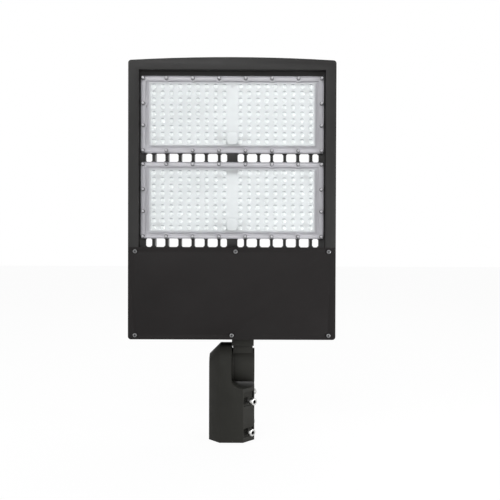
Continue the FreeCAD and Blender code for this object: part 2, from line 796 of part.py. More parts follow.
def connector(name, z):
    """A plug block that bridges the two boards of a module over a lead's exit."""
    on_board = f"({floor_front} - dim.board_thickness)"
    return box(
        name, ("-dim.connector_half_width", "dim.connector_half_width"),
        (f"{on_board} - dim.connector_height", on_board),
        (f"{z} - dim.connector_half_length", f"{z} + dim.connector_half_length"),
    )


lower_connectors = doc.addObject("Part::Compound", "lower_connector_pair")
lower_connectors.Links = [
    connector(f"{name}_plug", lead_exits[name]) for name in ("lower_exit", "link_exit")
]
node("lower_module_connectors", lower_connectors)
node("upper_module_connector", connector("upper_exit_plug", lead_exits["upper_exit"]))

# The leads fill their bore but for a small gap, and branch to each connector.
lead_radius = "dim.lead_bore - dim.lead_gap"
lead_end = f"({floor_front} - dim.board_thickness)"
lead_trunk = rod(
    "lead_trunk", lead_radius, "z", (driver_high, f"{lead_exits['upper_exit']} + {lead_radius}"),
    y=lead_height,
)
lead_branches = [
    rod(f"{name}_branch", "dim.lead_mouth - dim.lead_gap", "y", (lead_end, lead_height), z=z)
    for name, z in lead_exits.items()
]
node("module_leads", join("lead_result", lead_trunk, *lead_branches))

# ---- devices on the floor of the driver box ----


def device(name, x, z, height, tabs):
    """A case with thin screw tabs, standing on the floor of the driver box."""
    case = box(name + "_case", x, (f"{box_floor} - {height}", box_floor), z)
    feet = [
        box(f"{name}_tab_{count}", tab_x, (f"{box_floor} - dim.tab_thickness", box_floor), tab_z)
        for count, (tab_x, tab_z) in enumerate(tabs)
    ]
    holes = [
        rod(
            f"{name}_tab_hole_{count}", "dim.device_screw_radius + dim.hole_clearance", "y",
            (f"{box_floor} - dim.tab_thickness - 1", f"{box_floor} + 1"), x=hole_x, z=hole_z,
        )
        for count, (hole_x, hole_z) in enumerate(device_screw_places[name])
    ]
    node(name, cut(name + "_result", join(name + "_solid", case, *feet), holes))
    screws = doc.addObject("Part::Compound", name + "_screw_set")
    screws.Links = [
        screw(
            f"{name}_screw_{count}", "dim.device_screw_radius", "dim.device_screw_head",
            "dim.device_screw_head_height", f"({box_floor} - dim.tab_thickness)",
            f"{device_screw_tip} - 0.5", x=screw_x, z=screw_z,
        )
        for count, (screw_x, screw_z) in enumerate(device_screw_places[name])
    ]
    node(name + "_screws", screws)


device(
    "led_driver", (driver_left, driver_right), (driver_low, driver_high), "dim.driver_height",
    [
        ((f"{driver_left} - dim.driver_tab", driver_left), (driver_low, driver_high)),
        ((driver_right, f"{driver_right} + dim.driver_tab"), (driver_low, driver_high)),
    ],
)
device(
    "surge_protector", (surge_left, surge_right), (surge_low, driver_high), "dim.surge_height",
    [
        ((surge_left, surge_right), (f"{surge_low} - dim.driver_tab", surge_low)),
        ((surge_left, surge_right), (driver_high, f"{driver_high} + dim.driver_tab")),
    ],
)
device(
    "terminal_block", (surge_left, surge_right), (terminal_low, terminal_high), "dim.terminal_height",
    [((surge_left, surge_right), (f"{terminal_low} - dim.driver_tab", terminal_low))],
)

vent_head = rod(
    "vent_head", "dim.vent_head_radius", "y", (box_back, f"{box_back} + dim.vent_head_height"),
    x=vent_x, z=vent_z,
)
vent_stem = rod("vent_stem", "dim.vent_radius", "y", (f"{box_floor} - 2", box_back), x=vent_x, z=vent_z)
node("breather_vent", join("vent_result", vent_head, vent_stem))

# ---- knuckle: tilt arm of the head ----

barrel_end = "(dim.fitter_width / 2)"
recess_floor = f"({barrel_end} - dim.bolt_recess_depth)"
knuckle = "dim.knuckle_height"
ring_end = "(dim.knuckle_gap + dim.ring_width)"
groove_end = f"({ring_end} + dim.ring_groove)"
neck_top = f"({head_bottom} - dim.arm_gasket_thickness)"
neck_low = f"({head_bottom} - dim.neck_ledge)"
neck_x = ("dim.knuckle_gap", f"dim.knuckle_gap + {neck_width}")
web_x = (f"{neck_x[0]} + dim.web_inset", f"{neck_x[1]} - dim.web_inset")

barrel_core = rod(
    "barrel_core", "dim.barrel_radius - dim.barrel_groove", "x", ("dim.knuckle_gap", barrel_end), z=knuckle
)
barrel_ring = rod("barrel_ring", "dim.barrel_radius", "x", ("dim.knuckle_gap", ring_end), z=knuckle)
barrel_body = rod("barrel_body", "dim.barrel_radius", "x", (groove_end, barrel_end), z=knuckle)
neck_half = "dim.neck_half_depth"
neck = box("neck", neck_x, (f"-{neck_half}", neck_half), (neck_low, neck_top))
web_half = "dim.web_half_depth"
neck_web = box("neck_web", web_x, (f"-{web_half}", web_half), (knuckle, neck_low))
arm_cavity = rod(
    "arm_cavity", "dim.knuckle_cavity", "x",
    ("dim.knuckle_gap - 1", f"{recess_floor} - dim.barrel_web"), z=knuckle,
)
arm_wire_way = rod(
    "arm_wire_way", "dim.wire_hole", "z", (f"{knuckle} + 0.75 * dim.knuckle_cavity", f"{neck_top} + 1"),
    x=neck_middle,
)
bolt_way = rod(
    "bolt_way", "dim.bolt_radius + dim.running_gap", "x", ("0", f"{barrel_end} + 1"), z=knuckle
)
bolt_recess = rod(
    "bolt_recess", "dim.bolt_recess_radius", "x", (recess_floor, f"{barrel_end} + 1"), z=knuckle
)
groove_floor = "(dim.knuckle_gap + dim.seal_groove_depth)"
seal_groove = cut(
    "seal_groove",
    rod("seal_groove_disc", "dim.seal_outer + dim.running_gap", "x", ("0", groove_floor), z=knuckle),
    rod(
        "seal_groove_core", "dim.seal_inner - dim.running_gap", "x", ("-1", f"{groove_floor} + 1"),
        z=knuckle,
    ),
)
arm_screw_seat = f"({head_bottom} + dim.box_wall)"
arm_screw_tip = f"({arm_screw_seat} - dim.arm_screw_length)"
arm_screw_end = f"({arm_screw_seat} + dim.arm_screw_head_height)"
neck_holes = [
    rod(
        f"neck_hole_{count}", "dim.arm_screw_radius + dim.hole_clearance", "z",
        (f"{arm_screw_tip} - 1", f"{neck_top} + 1"), x=x, y=y,
    )
    for count, (x, y) in enumerate(arm_screw_places)
]
node(
    "tilt_arm",
    cut(
        "tilt_arm_result", join("tilt_arm_solid", barrel_core, barrel_ring, barrel_body, neck, neck_web),
        arm_cavity, [arm_wire_way, *neck_holes], bolt_way, bolt_recess, seal_groove,
    ),
)
gasket_block = box(
    "arm_gasket_block", (f"{neck_x[0]} + dim.gasket_inset", f"{neck_x[1]} - dim.gasket_inset"),
    (f"-{neck_half} + dim.gasket_inset", f"{neck_half} - dim.gasket_inset"), (neck_top, head_bottom),
)
gasket_way = rod(
    "arm_gasket_way", "dim.wire_hole", "z", (f"{neck_top} - 1", f"{head_bottom} + 1"), x=neck_middle
)
gasket_holes = [
    rod(
        f"arm_gasket_hole_{count}", "dim.arm_screw_radius + dim.hole_clearance", "z",
        (f"{neck_top} - 1", f"{head_bottom} + 1"), x=x, y=y,
    )
    for count, (x, y) in enumerate(arm_screw_places)
]
node("tilt_arm_gasket", cut("arm_gasket_result", gasket_block, [gasket_way, *gasket_holes]))

arm_screws = doc.addObject("Part::Compound", "arm_screw_set")
arm_screw_pieces = []
for count, (x, y) in enumerate(arm_screw_places):
    head = rod(
        f"arm_screw_head_{count}", "dim.arm_screw_head", "z", (arm_screw_seat, arm_screw_end), x=x, y=y
    )
    shank = rod(
        f"arm_screw_shank_{count}", "dim.arm_screw_radius", "z", (arm_screw_tip, arm_screw_seat), x=x, y=y
    )
    socket = rod(
        f"arm_screw_socket_{count}", "dim.arm_screw_head / 2", "z",
        (f"{arm_screw_end} - dim.arm_screw_head_height / 2", f"{arm_screw_end} + 1"), x=x, y=y,
    )
    arm_screw_pieces.append(cut(f"arm_screw_{count}", join(f"arm_screw_solid_{count}", head, shank), socket))
arm_screws.Links = arm_screw_pieces
node("tilt_arm_screws", arm_screws)

grommet_tube = rod(
    "grommet_tube", "dim.wire_hole + dim.grommet_wall", "z", (head_bottom, arm_screw_seat), x=neck_middle
)
grommet_lip = rod(
    "grommet_lip", "dim.grommet_flange", "z", (arm_screw_seat, f"{arm_screw_seat} + 1.5"), x=neck_middle
)
grommet_way = rod(
    "grommet_way", "dim.wire_hole - 1", "z", (f"{head_bottom} - 1", f"{arm_screw_seat} + 3"), x=neck_middle
)
node("wire_grommet", cut("grommet_result", join("grommet_solid", grommet_tube, grommet_lip), grommet_way))

# ---- slip fitter: eight-sided socket with the other half of the knuckle ----

side_flat = "(dim.fitter_width / 2)"
arm_face = "(-dim.knuckle_gap)"
socket_block = box(
    "socket_block", (f"-{side_flat}", side_flat), (f"-{side_flat}", side_flat), ("0", knuckle)
)
socket_prism = round_edges(
    "socket_prism", socket_block, sizes["fitter_chamfer"], (0, 0, 1), kind="Part::Chamfer"
)
cheek_drum = rod(
    "cheek_drum", side_flat, "x", (f"-{side_flat} + dim.fitter_chamfer", arm_face), z=knuckle
)
cheek_cone = doc.addObject("Part::Cone", "cheek_cone")
cheek_cone.Placement.Rotation = turns["x"]
cheek_cone.setExpression("Radius1", f"{side_flat} - dim.fitter_chamfer")
cheek_cone.setExpression("Radius2", side_flat)
cheek_cone.setExpression("Height", "dim.fitter_chamfer")
place(cheek_cone, x=f"-{side_flat}", z=knuckle)

saddle_x = f"({arm_face} + dim.saddle_reach)"
shelf = f"({knuckle} - dim.shelf_drop)"
saddle_z = f"({shelf} + dim.saddle_radius)"
beyond = "dim.fitter_width"
above = f"({knuckle} + dim.fitter_width)"
saddle_drum = rod("saddle_drum", "dim.saddle_radius", "y", (f"-{beyond}", beyond), x=saddle_x, z=saddle_z)
saddle_half = box("saddle_half", (arm_face, beyond), (f"-{beyond}", beyond), (shelf, above))
saddle_curve = overlap("saddle_curve", saddle_drum, saddle_half)
over_saddle = box("over_saddle", (arm_face, beyond), (f"-{beyond}", beyond), (saddle_z, above))
over_shelf = box("over_shelf", (saddle_x, beyond), (f"-{beyond}", beyond), (shelf, above))
barrel_room = rod(
    "barrel_room", "dim.barrel_radius + dim.barrel_clearance", "x", (arm_face, beyond), z=knuckle
)
tenon_bore = rod("tenon_bore", "dim.socket_radius", "z", ("-1", "dim.socket_depth"))
cheek_cavity_end = f"(-({recess_floor}) + dim.barrel_web)"
cheek_cavity = rod(
    "cheek_cavity", "dim.knuckle_cavity", "x", (cheek_cavity_end, f"{arm_face} + 1"), z=knuckle
)
cheek_wire_way = rod(
    "cheek_wire_way", "dim.wire_hole", "z", ("dim.socket_depth - 1", knuckle), x=f"{cheek_cavity_end} / 2"
)
cheek_bolt_way = rod(
    "cheek_bolt_way", "dim.bolt_radius + dim.hole_clearance", "x", (f"-{side_flat} - 1", "0"), z=knuckle
)


def hexagon(name, corner_radius, span, z):
    """A six-sided prism along x."""
    prism = doc.addObject("Part::Prism", name)
    prism.Polygon = 6
    prism.Placement.Rotation = turns["x"]
    prism.setExpression("Circumradius", corner_radius)
    prism.setExpression("Height", f"({span[1]}) - ({span[0]})")
    return place(prism, x=span[0], z=z)


nut_seat = f"(-{side_flat} + dim.nut_height + 0.6)"
nut_pocket = hexagon(
    "nut_pocket", "dim.bolt_head_radius + 0.3", (f"-{side_flat} - 1", nut_seat), z=knuckle
)


def spoke(name, radius, span, side, z):
    """A cylinder that points out of the tenon's axis, halfway between x and the front or back."""
    cylinder = doc.addObject("Part::Cylinder", name)
    cylinder.Placement.Rotation = FreeCAD.Rotation(FreeCAD.Vector(0, 0, 1), FreeCAD.Vector(1, side, 0))
    cylinder.setExpression("Radius", radius)
    cylinder.setExpression("Height", f"({span[1]}) - ({span[0]})")
    return place(cylinder, f"({span[0]}) / sqrt(2)", f"{side} * ({span[0]}) / sqrt(2)", z)


facet_distance = f"(({side_flat} - dim.fitter_chamfer / 2) * sqrt(2))"
pad_seat = f"({facet_distance} - dim.pad_depth)"


def pad(name, side, start, end):
    """A recess in a slanted facet, square to the screw that it seats."""
    block = doc.addObject("Part::Box", name)
    block.Placement.Rotation = FreeCAD.Rotation(FreeCAD.Vector(0, 0, 1), side * 45)
    block.setExpression("Length", "dim.fitter_width")
    block.setExpression("Width", "dim.pad_width")
    block.setExpression("Height", f"({end}) - ({start})")
    x = f"({pad_seat} + {side} * dim.pad_width / 2) / sqrt(2)"
    y = f"({side} * {pad_seat} - dim.pad_width / 2) / sqrt(2)"
    return place(block, x, y, start)


pads = []
screw_holes = []
for face, side in (("front", -1), ("back", 1)):
    for level in ("low", "high"):
        height = f"dim.set_screw_{level}"
        pads.append(
            pad(
                f"{face}_{level}_pad", side, f"{height} - dim.pad_below_{level}",
                f"{height} + dim.pad_above_{level}",
            )
        )
        screw_holes.append(
            spoke(
                f"{face}_{level}_thread", "dim.set_screw_radius + dim.hole_clearance",
                ("dim.socket_radius / 2", beyond), side, height,
            )
        )
node(
    "slip_fitter_body",
    cut(
        "fitter_result", join("fitter_solid", socket_prism, cheek_drum, cheek_cone),
        saddle_curve, over_saddle, over_shelf, barrel_room, [tenon_bore, cheek_cavity], cheek_wire_way,
        cheek_bolt_way, [nut_pocket, *pads], screw_holes,
    ),
)

for face, side in (("front", -1), ("back", 1)):
    for level in ("low", "high"):
        name = f"{face}_{level}_set_screw"
        end = f"({facet_distance} + dim.set_screw_stand_{level})"
        under = f"({end} - dim.set_screw_head_height)"
        height = f"dim.set_screw_{level}"
        head = spoke(name + "_head", "dim.set_screw_head", (under, end), side, height)
        shank = spoke(
            name + "_shank", "dim.set_screw_radius", (f"{under} - dim.set_screw_length", under), side, height
        )
        socket = spoke(
            name + "_socket", "dim.set_screw_socket",
            (f"{end} - dim.set_screw_head_height / 2", f"{end} + 1"), side, height,
        )
        node(name, cut(name + "_result", join(name + "_solid", head, shank), socket))

# ---- the bolt that clamps the knuckle, with its washers, nut and seal ----

washer_low = f"({recess_floor} + dim.running_gap)"
washer_high = f"({washer_low} + dim.washer_thickness)"
lock_high = f"({washer_high} + dim.lock_washer_thickness)"
head_high = f"({lock_high} + dim.bolt_head_height)"
nut_low = f"({nut_seat} - dim.nut_height)"
ring_hole = "dim.bolt_radius + dim.hole_clearance"
knuckle_rod = rod("knuckle_rod", "dim.bolt_radius", "x", (nut_low, lock_high), z=knuckle)
knuckle_head = hexagon("knuckle_head", "dim.bolt_head_radius", (lock_high, head_high), z=knuckle)
node("knuckle_bolt", join("knuckle_bolt_result", knuckle_rod, knuckle_head))


def ring(name, outer, inner, span):
    """A flat ring round the knuckle's axis."""
    disc = rod(name + "_disc", outer, "x", span, z=knuckle)
    hole = rod(name + "_hole", inner, "x", (f"{span[0]} - 1", f"{span[1]} + 1"), z=knuckle)
    return node(name, cut(name + "_result", disc, hole))


ring("knuckle_washer", "dim.washer_radius", ring_hole, (washer_low, washer_high))
ring("knuckle_lock_washer", "dim.bolt_head_radius", ring_hole, (washer_high, lock_high))
seal_span = (f"({arm_face} + dim.seal_seat)", f"({groove_floor} - dim.running_gap)")
ring("knuckle_seal", "dim.seal_outer", "dim.seal_inner", seal_span)
nut_body = hexagon("nut_body", "dim.bolt_head_radius", (nut_low, nut_seat), z=knuckle)
nut_thread = rod("nut_thread", ring_hole, "x", (f"{nut_low} - 1", f"{nut_seat} + 1"), z=knuckle)
node("knuckle_nut", cut("nut_result", nut_body, nut_thread))

# ---- test every object, then write one file for each node ----

doc.recompute()
failed = [item.Name for item in doc.Objects if "Invalid" in item.State or "Error" in item.State]
for name, piece in nodes.items():
    if piece.Shape.isNull() or not piece.Shape.isValid():
        failed.append(name)
if failed:
    raise SystemExit("these objects failed: " + ", ".join(failed))

os.makedirs("parts", exist_ok=True)
for name, piece in nodes.items():
    piece.Shape.exportStep(f"parts/{name}.step")
    limits = piece.Shape.BoundBox
    print(
        f"{name:28s} {len(piece.Shape.Solids):4d} solids {piece.Shape.Volume / 1000:9.2f} cm3 "
        f"x {limits.XMin:7.1f} {limits.XMax:7.1f} y {limits.YMin:6.1f} {limits.YMax:6.1f} "
        f"z {limits.ZMin:6.1f} {limits.ZMax:6.1f}"
    )
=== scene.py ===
# %% [markdown]
# # An area light on a slip fitter
#
# The light is a flat die-cast head with two clear lens modules and a closed driver
# box below them. A one-sided knuckle carries the head on an eight-sided socket,
# which slides over the end of a pole. The construction model is loaded first as a
# fixed frame, and every piece made here is set on it.

import json
import math

import bpy
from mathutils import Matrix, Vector

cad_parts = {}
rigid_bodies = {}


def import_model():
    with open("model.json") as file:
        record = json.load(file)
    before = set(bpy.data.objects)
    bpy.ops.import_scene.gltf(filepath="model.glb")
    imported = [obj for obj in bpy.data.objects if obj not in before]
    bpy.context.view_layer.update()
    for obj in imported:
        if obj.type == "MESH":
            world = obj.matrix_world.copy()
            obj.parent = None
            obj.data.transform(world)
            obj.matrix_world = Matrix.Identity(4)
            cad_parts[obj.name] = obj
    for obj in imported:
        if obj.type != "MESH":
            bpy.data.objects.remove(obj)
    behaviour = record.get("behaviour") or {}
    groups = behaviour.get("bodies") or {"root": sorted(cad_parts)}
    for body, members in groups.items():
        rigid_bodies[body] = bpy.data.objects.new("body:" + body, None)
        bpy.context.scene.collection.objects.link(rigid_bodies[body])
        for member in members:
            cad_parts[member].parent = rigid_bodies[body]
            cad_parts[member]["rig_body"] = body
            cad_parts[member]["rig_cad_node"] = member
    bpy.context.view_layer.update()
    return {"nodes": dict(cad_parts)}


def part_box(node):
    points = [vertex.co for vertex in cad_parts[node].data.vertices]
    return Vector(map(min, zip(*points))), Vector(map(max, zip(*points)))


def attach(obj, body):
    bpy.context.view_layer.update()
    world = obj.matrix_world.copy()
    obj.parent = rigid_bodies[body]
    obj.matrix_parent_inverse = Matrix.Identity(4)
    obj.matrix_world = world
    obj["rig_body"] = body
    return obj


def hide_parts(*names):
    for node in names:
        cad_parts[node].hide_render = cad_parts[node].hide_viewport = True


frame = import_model()
nodes = frame["nodes"]

MM = 0.001
FRONT = Vector((0, -1, 0))

# %% [markdown]
# ## Small helpers
#
# An operator acts on everything that is selected, and a freshly loaded model is
# selected all over. So each step first clears the selection and makes one object
# active. One helper chooses faces or edges by a test on their place. The others
# make boxes and drums, and join, copy, cut and bevel them.

# %% Selection helpers


def activate(piece):
    """Select one object alone and make it the active one."""
    if bpy.context.object and bpy.context.object.mode != "OBJECT":
        bpy.ops.object.mode_set(mode="OBJECT")
    bpy.ops.object.select_all(action="DESELECT")
    piece.select_set(True)
    bpy.context.view_layer.objects.active = piece


def choose(piece, kind, test):
    """Enter edit mode with the faces or edges selected whose test is true."""
    activate(piece)
    mesh = piece.data
    chosen = [test(part) for part in getattr(mesh, kind)]
    for group in (mesh.vertices, mesh.edges, mesh.polygons):
        group.foreach_set("select", [False] * len(group))
    getattr(mesh, kind).foreach_set("select", chosen)
    bpy.ops.object.mode_set(mode="EDIT")
    bpy.ops.mesh.select_mode(type="FACE" if kind == "polygons" else "EDGE")
    bpy.ops.object.mode_set(mode="OBJECT")
    getattr(mesh, kind).foreach_set("select", chosen)
    bpy.ops.object.mode_set(mode="EDIT")
    return sum(chosen)


def leave_edit():
    bpy.ops.object.mode_set(mode="OBJECT")


def smooth(angle):
    """Shade the active object smooth where faces meet at less than an angle."""
    bpy.ops.object.shade_smooth_by_angle(angle=math.radians(angle))


def along(mesh, edge, axis):
    """True for an edge that runs along one axis (0, 1 or 2)."""
    line = mesh.vertices[edge.vertices[1]].co - mesh.vertices[edge.vertices[0]].co
    return line.length > 0 and abs(line[axis]) > 0.999 * line.length


def all_below(mesh, edge, y):
    """True for an edge whose ends both lie in front of a y."""
    return all(mesh.vertices[v].co.y < y for v in edge.vertices)


# %% Shape helpers


def block(name, low, high):
    """A box between two corners, with its place in its mesh."""
    bpy.ops.object.select_all(action="DESELECT")
    centre = (Vector(low) + Vector(high)) / 2
    size = Vector(high) - Vector(low)
    bpy.ops.mesh.primitive_cube_add(size=1, location=centre)
    piece = bpy.context.object
    piece.name = name
    piece.scale = size
    bpy.ops.object.transform_apply(location=True, rotation=True, scale=True)
    return piece


def drum(name, centre, radius, depth, sides, axis="y"):
    """A cylinder along y or z, with its place in its mesh."""
    bpy.ops.object.select_all(action="DESELECT")
    turn = {"y": (math.pi / 2, 0, 0), "z": (0, 0, 0)}[axis]
    bpy.ops.mesh.primitive_cylinder_add(
        vertices=sides, radius=radius, depth=depth, location=centre, rotation=turn
    )
    piece = bpy.context.object
    piece.name = name
    bpy.ops.object.transform_apply(location=True, rotation=True, scale=True)
    return piece


def merge(name, pieces):
    """Join several objects into one mesh object."""
    activate(pieces[0])
    for piece in pieces:
        piece.select_set(True)
    if len(pieces) > 1:
        bpy.ops.object.join()
    pieces[0].name = name
    return pieces[0]


def copy_to(master, name, shift):
    """A copy of a finished piece with its own mesh, moved in its mesh."""
    activate(master)
    bpy.ops.object.duplicate(linked=False)
    twin = bpy.context.object
    twin.name = name
    twin.location = shift
    bpy.ops.object.transform_apply(location=True, rotation=False, scale=False)
    return twin


def drop(piece):
    bpy.data.objects.remove(piece, do_unlink=True)


def boolean(piece, tool, operation):
    """Apply a boolean with a tool object, and delete the tool."""
    activate(piece)
    step = piece.modifiers.new(operation, "BOOLEAN")
    step.operation = operation
    step.solver = "EXACT"
    step.object = tool
    bpy.ops.object.modifier_apply(modifier=step.name)
    drop(tool)


def soften(piece, width, segments=2, angle=35):
    """Bevel the sharp edges, no wider than the shortest edges allow, and smooth."""
    activate(piece)
    step = piece.modifiers.new("rounding", "BEVEL")
    step.width = width
    step.segments = segments
    step.limit_method = "ANGLE"
    step.angle_limit = math.radians(angle)
    step.use_clamp_overlap = True
    step.harden_normals = False
    bpy.ops.object.modifier_apply(modifier=step.name)
    smooth(30)


# %% [markdown]
# ## Powder coat
#
# The castings and the cover carry a dark bronze powder coat. Such a coat is never
# flat: it has a fine orange peel, its gloss varies a little, and dust settles in it
# as a faint cloud. All three come from noise on object coordinates, so the pattern
# stays on the metal when the head tilts.

# %% A helper for procedural materials
# Noise keeps mostly to this range, so colours and values are spread over it.
NOISE_LOW, NOISE_HIGH = 0.3, 0.7


class Maker:
    """Builds one node material with few words."""

    def __init__(self, name):
        self.material = bpy.data.materials.new(name)
        self.material.use_nodes = True
        self.tree = self.material.node_tree
        self.shader = self.tree.nodes["Principled BSDF"]
        self.place = self.add("ShaderNodeTexCoord")

    def add(self, kind):
        return self.tree.nodes.new(kind)

    def link(self, source, target):
        self.tree.links.new(source, target)

    def noise(self, scale, detail, stretch=(1, 1, 1)):
        mapping = self.add("ShaderNodeMapping")
        mapping.inputs["Scale"].default_value = stretch
        self.link(self.place.outputs["Object"], mapping.inputs["Vector"])
        made = self.add("ShaderNodeTexNoise")
        made.inputs["Scale"].default_value = scale
        made.inputs["Detail"].default_value = detail
        self.link(mapping.outputs["Vector"], made.inputs["Vector"])
        return made.outputs["Fac"]

    def tint(self, source, dark, light, start=NOISE_LOW):
        """Base colour from dark to light over the noise."""
        made = self.add("ShaderNodeValToRGB")
        ends = made.color_ramp.elements
        for element, where, color in zip(ends, (start, NOISE_HIGH), (dark, light)):
            element.position = where
            element.color = (*color, 1)
        self.link(source, made.inputs["Fac"])
        self.link(made.outputs["Color"], self.shader.inputs["Base Color"])

    def vary(self, socket, source, low, high):
        """A socket of the shader from low to high over the noise."""
        made = self.add("ShaderNodeMapRange")
        limits = {"From Min": NOISE_LOW, "From Max": NOISE_HIGH, "To Min": low, "To Max": high}
        for name, value in limits.items():
            made.inputs[name].default_value = value
        self.link(source, made.inputs["Value"])
        self.link(made.outputs["Result"], self.shader.inputs[socket])

    def bump(self, source, depth):
        made = self.add("ShaderNodeBump")
        made.inputs["Strength"].default_value = 1.0
        made.inputs["Distance"].default_value = depth
        self.link(source, made.inputs["Height"])
        self.link(made.outputs["Normal"], self.shader.inputs["Normal"])

    def set(self, **values):
        for key, value in values.items():
            self.shader.inputs[key.replace("_", " ")].default_value = value


# %% Three paints


def paint_coat(name, dark, light, rough, peel, gloss):
    made = Maker(name)
    made.tint(made.noise(9.0, 4.0), dark, light, start=0.32)
    made.vary("Roughness", made.noise(60.0, 3.0), *rough)
    made.bump(made.noise(1400.0, 1.0), peel)
    made.set(Specular_IOR_Level=gloss)
    return made.material


casting_paint = paint_coat(
    "bronze_powder_coat",
    dark=(0.0135, 0.0131, 0.0128),
    light=(0.0190, 0.0185, 0.0181),
    rough=(0.36, 0.48),
    peel=0.00004,
    gloss=0.22,
)
cover_paint = paint_coat(
    "bronze_coated_sheet",
    dark=(0.0098, 0.0086, 0.0086),
    light=(0.0130, 0.0116, 0.0116),
    rough=(0.42, 0.50),
    peel=0.00003,
    gloss=0.11,
)
fitter_paint = paint_coat(
    "bronze_coated_fitter",
    dark=(0.0165, 0.0163, 0.0142),
    light=(0.0215, 0.0212, 0.0186),
    rough=(0.52, 0.64),
    peel=0.00005,
    gloss=0.11,
)
print("paints", casting_paint.name, cover_paint.name, fitter_paint.name)

# %% [markdown]
# ## Clear lens, circuit board and small parts
#
# The lens is clear moulded plastic. It is drawn with a low alpha and a smooth
# gloss, because real refraction would stop the lamps' light on its way to the
# board. The flange is thicker and frosted on its back, so it hides more.

# %% Clear plastic


def clear_plastic(name, color, alpha, rough):
    made = Maker(name)
    made.tint(made.noise(14.0, 3.0), color, tuple(c * 0.94 for c in color))
    made.vary("Alpha", made.noise(22.0, 3.0), *alpha)
    made.set(Roughness=rough, IOR=1.49, Coat_Weight=0.25, Coat_Roughness=0.05)
    made.bump(made.noise(240.0, 1.0), 0.00003)
    return made.material


lens_clear = clear_plastic("lens_field_plastic", (0.80, 0.83, 0.84), (0.42, 0.50), 0.20)
lens_flange = clear_plastic("lens_flange_plastic", (0.66, 0.655, 0.69), (0.56, 0.64), 0.28)
optic_clear = clear_plastic("optic_plastic", (0.86, 0.90, 0.90), (0.36, 0.44), 0.14)
# The flank finish is grey painted shade for the upper flank of each dome.
upper_flank_painted_shade = clear_plastic("optic_upper_flank_painted_shade", (0.33, 0.35, 0.36), (0.62, 0.72), 0.20)

# %% Circuit board and light sources
mask = Maker("board_solder_mask")
mask.tint(mask.noise(30.0, 3.0), (0.78, 0.81, 0.82), (0.84, 0.86, 0.87))
mask.set(Roughness=0.35)
mask.bump(mask.noise(500.0, 2.0), 0.00003)
board_white = mask.material

gel = Maker("led_phosphor_gel")
gel.tint(gel.noise(900.0, 2.0), (0.93, 0.92, 0.80), (0.97, 0.97, 0.90))
gel.set(Roughness=0.25, Coat_Weight=0.5)
phosphor = gel.material

# %% Rubber, silicone and black plastic


def soft_rubber(name, dark, light, rough):
    made = Maker(name)
    made.tint(made.noise(80.0, 3.0), dark, light)
    made.set(Roughness=rough)
    made.bump(made.noise(1800.0, 1.0), 0.00004)
    return made.material


silicone = soft_rubber("lens_silicone", (0.55, 0.545, 0.58), (0.63, 0.625, 0.66), 0.5)
black_rubber = soft_rubber("black_rubber", (0.012, 0.012, 0.012), (0.020, 0.020, 0.020), 0.75)
black_plastic = soft_rubber("black_moulding", (0.018, 0.018, 0.019), (0.028, 0.028, 0.029), 0.5)
grey_sleeve = soft_rubber("grey_sleeve", (0.25, 0.26, 0.28), (0.32, 0.33, 0.35), 0.5)

# %% Bare metal


def turned_metal(name, dark, light, rough, grain=(1, 1, 1)):
    made = Maker(name)
    made.tint(made.noise(160.0, 4.0, grain), dark, light)
    made.vary("Roughness", made.noise(420.0, 3.0, grain), rough - 0.06, rough + 0.08)
    made.set(Metallic=1.0)
    made.bump(made.noise(900.0, 2.0, grain), 0.00002)
    return made.material


stainless = turned_metal("stainless_screw", (0.42, 0.42, 0.41), (0.58, 0.58, 0.57), 0.26)
dark_screw = turned_metal("dark_screw", (0.13, 0.13, 0.132), (0.22, 0.22, 0.225), 0.42)
# The recess finish is painted shade: a near-black metal for the inner faces of the screw
# recesses and sockets.
recess_shade = turned_metal("screw_recess", (0.020, 0.020, 0.021), (0.045, 0.045, 0.046), 0.45)
zinc = turned_metal("zinc_bolt", (0.46, 0.45, 0.41), (0.60, 0.59, 0.55), 0.34)
extrusion = turned_metal(
    "driver_extrusion", (0.44, 0.45, 0.46), (0.54, 0.55, 0.56), 0.38, (0.05, 1, 1)
)

# %% [markdown]
# ## Finishes on the construction pieces
#
# Pieces whose construction shape is already right keep it, and only get a finish.
# Most of them are inside the driver box or below a lens.

# %% Assign finishes


def finish(piece, *materials):
    piece.data.materials.clear()
    for material in materials:
        piece.data.materials.append(material)


def second_finish(piece, test):
    """Give a piece's second finish to the faces whose test is true."""
    for face in piece.data.polygons:
        face.material_index = 1 if test(face) else 0


for name, piece in nodes.items():
    if "led_boards" in name:
        finish(piece, board_white)
    elif "led_chips" in name:
        finish(piece, phosphor)
    elif name.endswith("lens_gasket"):
        finish(piece, silicone)
    elif "gasket" in name or name in ("wire_grommet", "knuckle_seal"):
        finish(piece, black_rubber)
    elif "connector" in name or name in ("terminal_block", "breather_vent", "surge_protector"):
        finish(piece, black_plastic)
    elif name == "module_leads":
        finish(piece, grey_sleeve)
    elif name == "led_driver":
        finish(piece, extrusion)
    elif name.startswith("knuckle_"):
        finish(piece, zinc)
    elif "screw" in name:
        finish(piece, stainless)
print("finished", len(nodes), "construction pieces")

# %% [markdown]
# ## Copies of the castings
#
# Each casting starts as a merged copy of its construction mesh, and a bevel by
# angle is laid on its edges. The bevel is clamped by the shortest edges of the
# mesh, which are very short here. So it comes out as a hairline of 0.003 to 0.03
# mm, whatever width is asked for, and the edges stay all but sharp.

# %% Bevelled copies of the castings


def bevelled_copy(node, name, width, material, body):
    """A merged and bevelled copy of a node, which then stands for it."""
    activate(nodes[node])
    bpy.ops.object.duplicate(linked=False)
    piece = bpy.context.object
    piece.name = name
    world = piece.matrix_world.copy()
    piece.parent = None
    piece.matrix_world = world
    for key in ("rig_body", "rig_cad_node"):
        if key in piece:
            del piece[key]
    activate(piece)
    bpy.ops.object.mode_set(mode="EDIT")
    bpy.ops.mesh.select_all(action="SELECT")
    bpy.ops.mesh.remove_doubles(threshold=0.01 * MM)
    bpy.ops.mesh.dissolve_limited(angle_limit=math.radians(0.5))
    leave_edit()
    soften(piece, width)
    finish(piece, material)
    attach(piece, body)
    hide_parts(node)
    print(name, len(piece.data.polygons), "faces")


